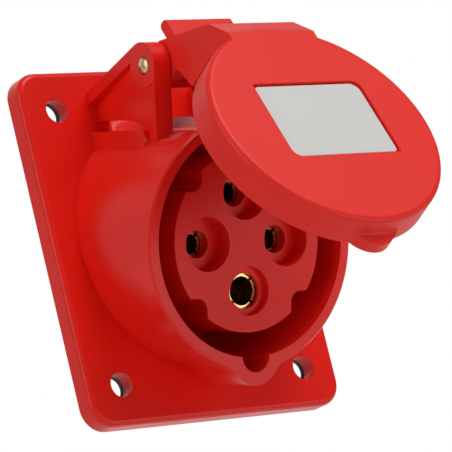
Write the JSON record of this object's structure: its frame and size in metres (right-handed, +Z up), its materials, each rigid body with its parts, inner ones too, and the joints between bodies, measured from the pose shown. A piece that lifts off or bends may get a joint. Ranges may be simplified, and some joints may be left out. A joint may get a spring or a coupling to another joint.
{
  "type": "industrial panel socket",
  "caption": "Angled panel-mount power socket: tilted round collar with key slot, contact insert, and a hinged lid standing half open.",
  "frame": {"origin": "centre of the flange's back face, in the middle of the fixing holes", "axes": "+Y into the panel, -Y towards the user, +Z up, +X to the right for the user"},
  "size_m": [0.076, 0.1118, 0.0931],
  "materials": {
    "red_plastic": "semi-gloss moulded red",
    "lid_plastic": "fine-grained moulded red, satin",
    "insert_plastic": "semi-gloss moulded red",
    "carrier_plastic": "dark moulded plastic",
    "seal_rubber": "matt black elastomer",
    "contact_brass": "turned brass, satin",
    "spring_steel": "drawn spring steel",
    "screw_steel": "zinc-plated steel",
    "pin_metal": "yellow-passivated rivet pin",
    "label_white": "plain off-white plate, bare"
  },
  "bodies": {
    "socket": {"housing": "red_plastic", "flange_gasket": "seal_rubber", "contact_insert": "insert_plastic", "insert_seal": "seal_rubber", "terminal_carrier": "carrier_plastic", "contact_l1": "contact_brass", "contact_l2": "contact_brass", "contact_l3": "contact_brass", "contact_earth": "contact_brass", "clip_ring_l1": "spring_steel", "clip_ring_l2": "spring_steel", "clip_ring_l3": "spring_steel", "clip_ring_earth": "spring_steel", "clamp_screws": "screw_steel", "carrier_screws": "screw_steel", "hinge_pin": "pin_metal", "hinge_spring": "spring_steel"},
    "lid": {"lid": "lid_plastic", "lid_seal": "seal_rubber", "label_plate": "label_white"}
  },
  "joints": [
    {"name": "lid_hinge", "type": "hinge", "parent": "socket", "child": "lid", "pos_m": [0, -0.03037, 0.0371], "axis": [-1, 0, 0], "range_deg": [-41.7, 63.3], "deforming": ["hinge_spring"]}
  ]
}
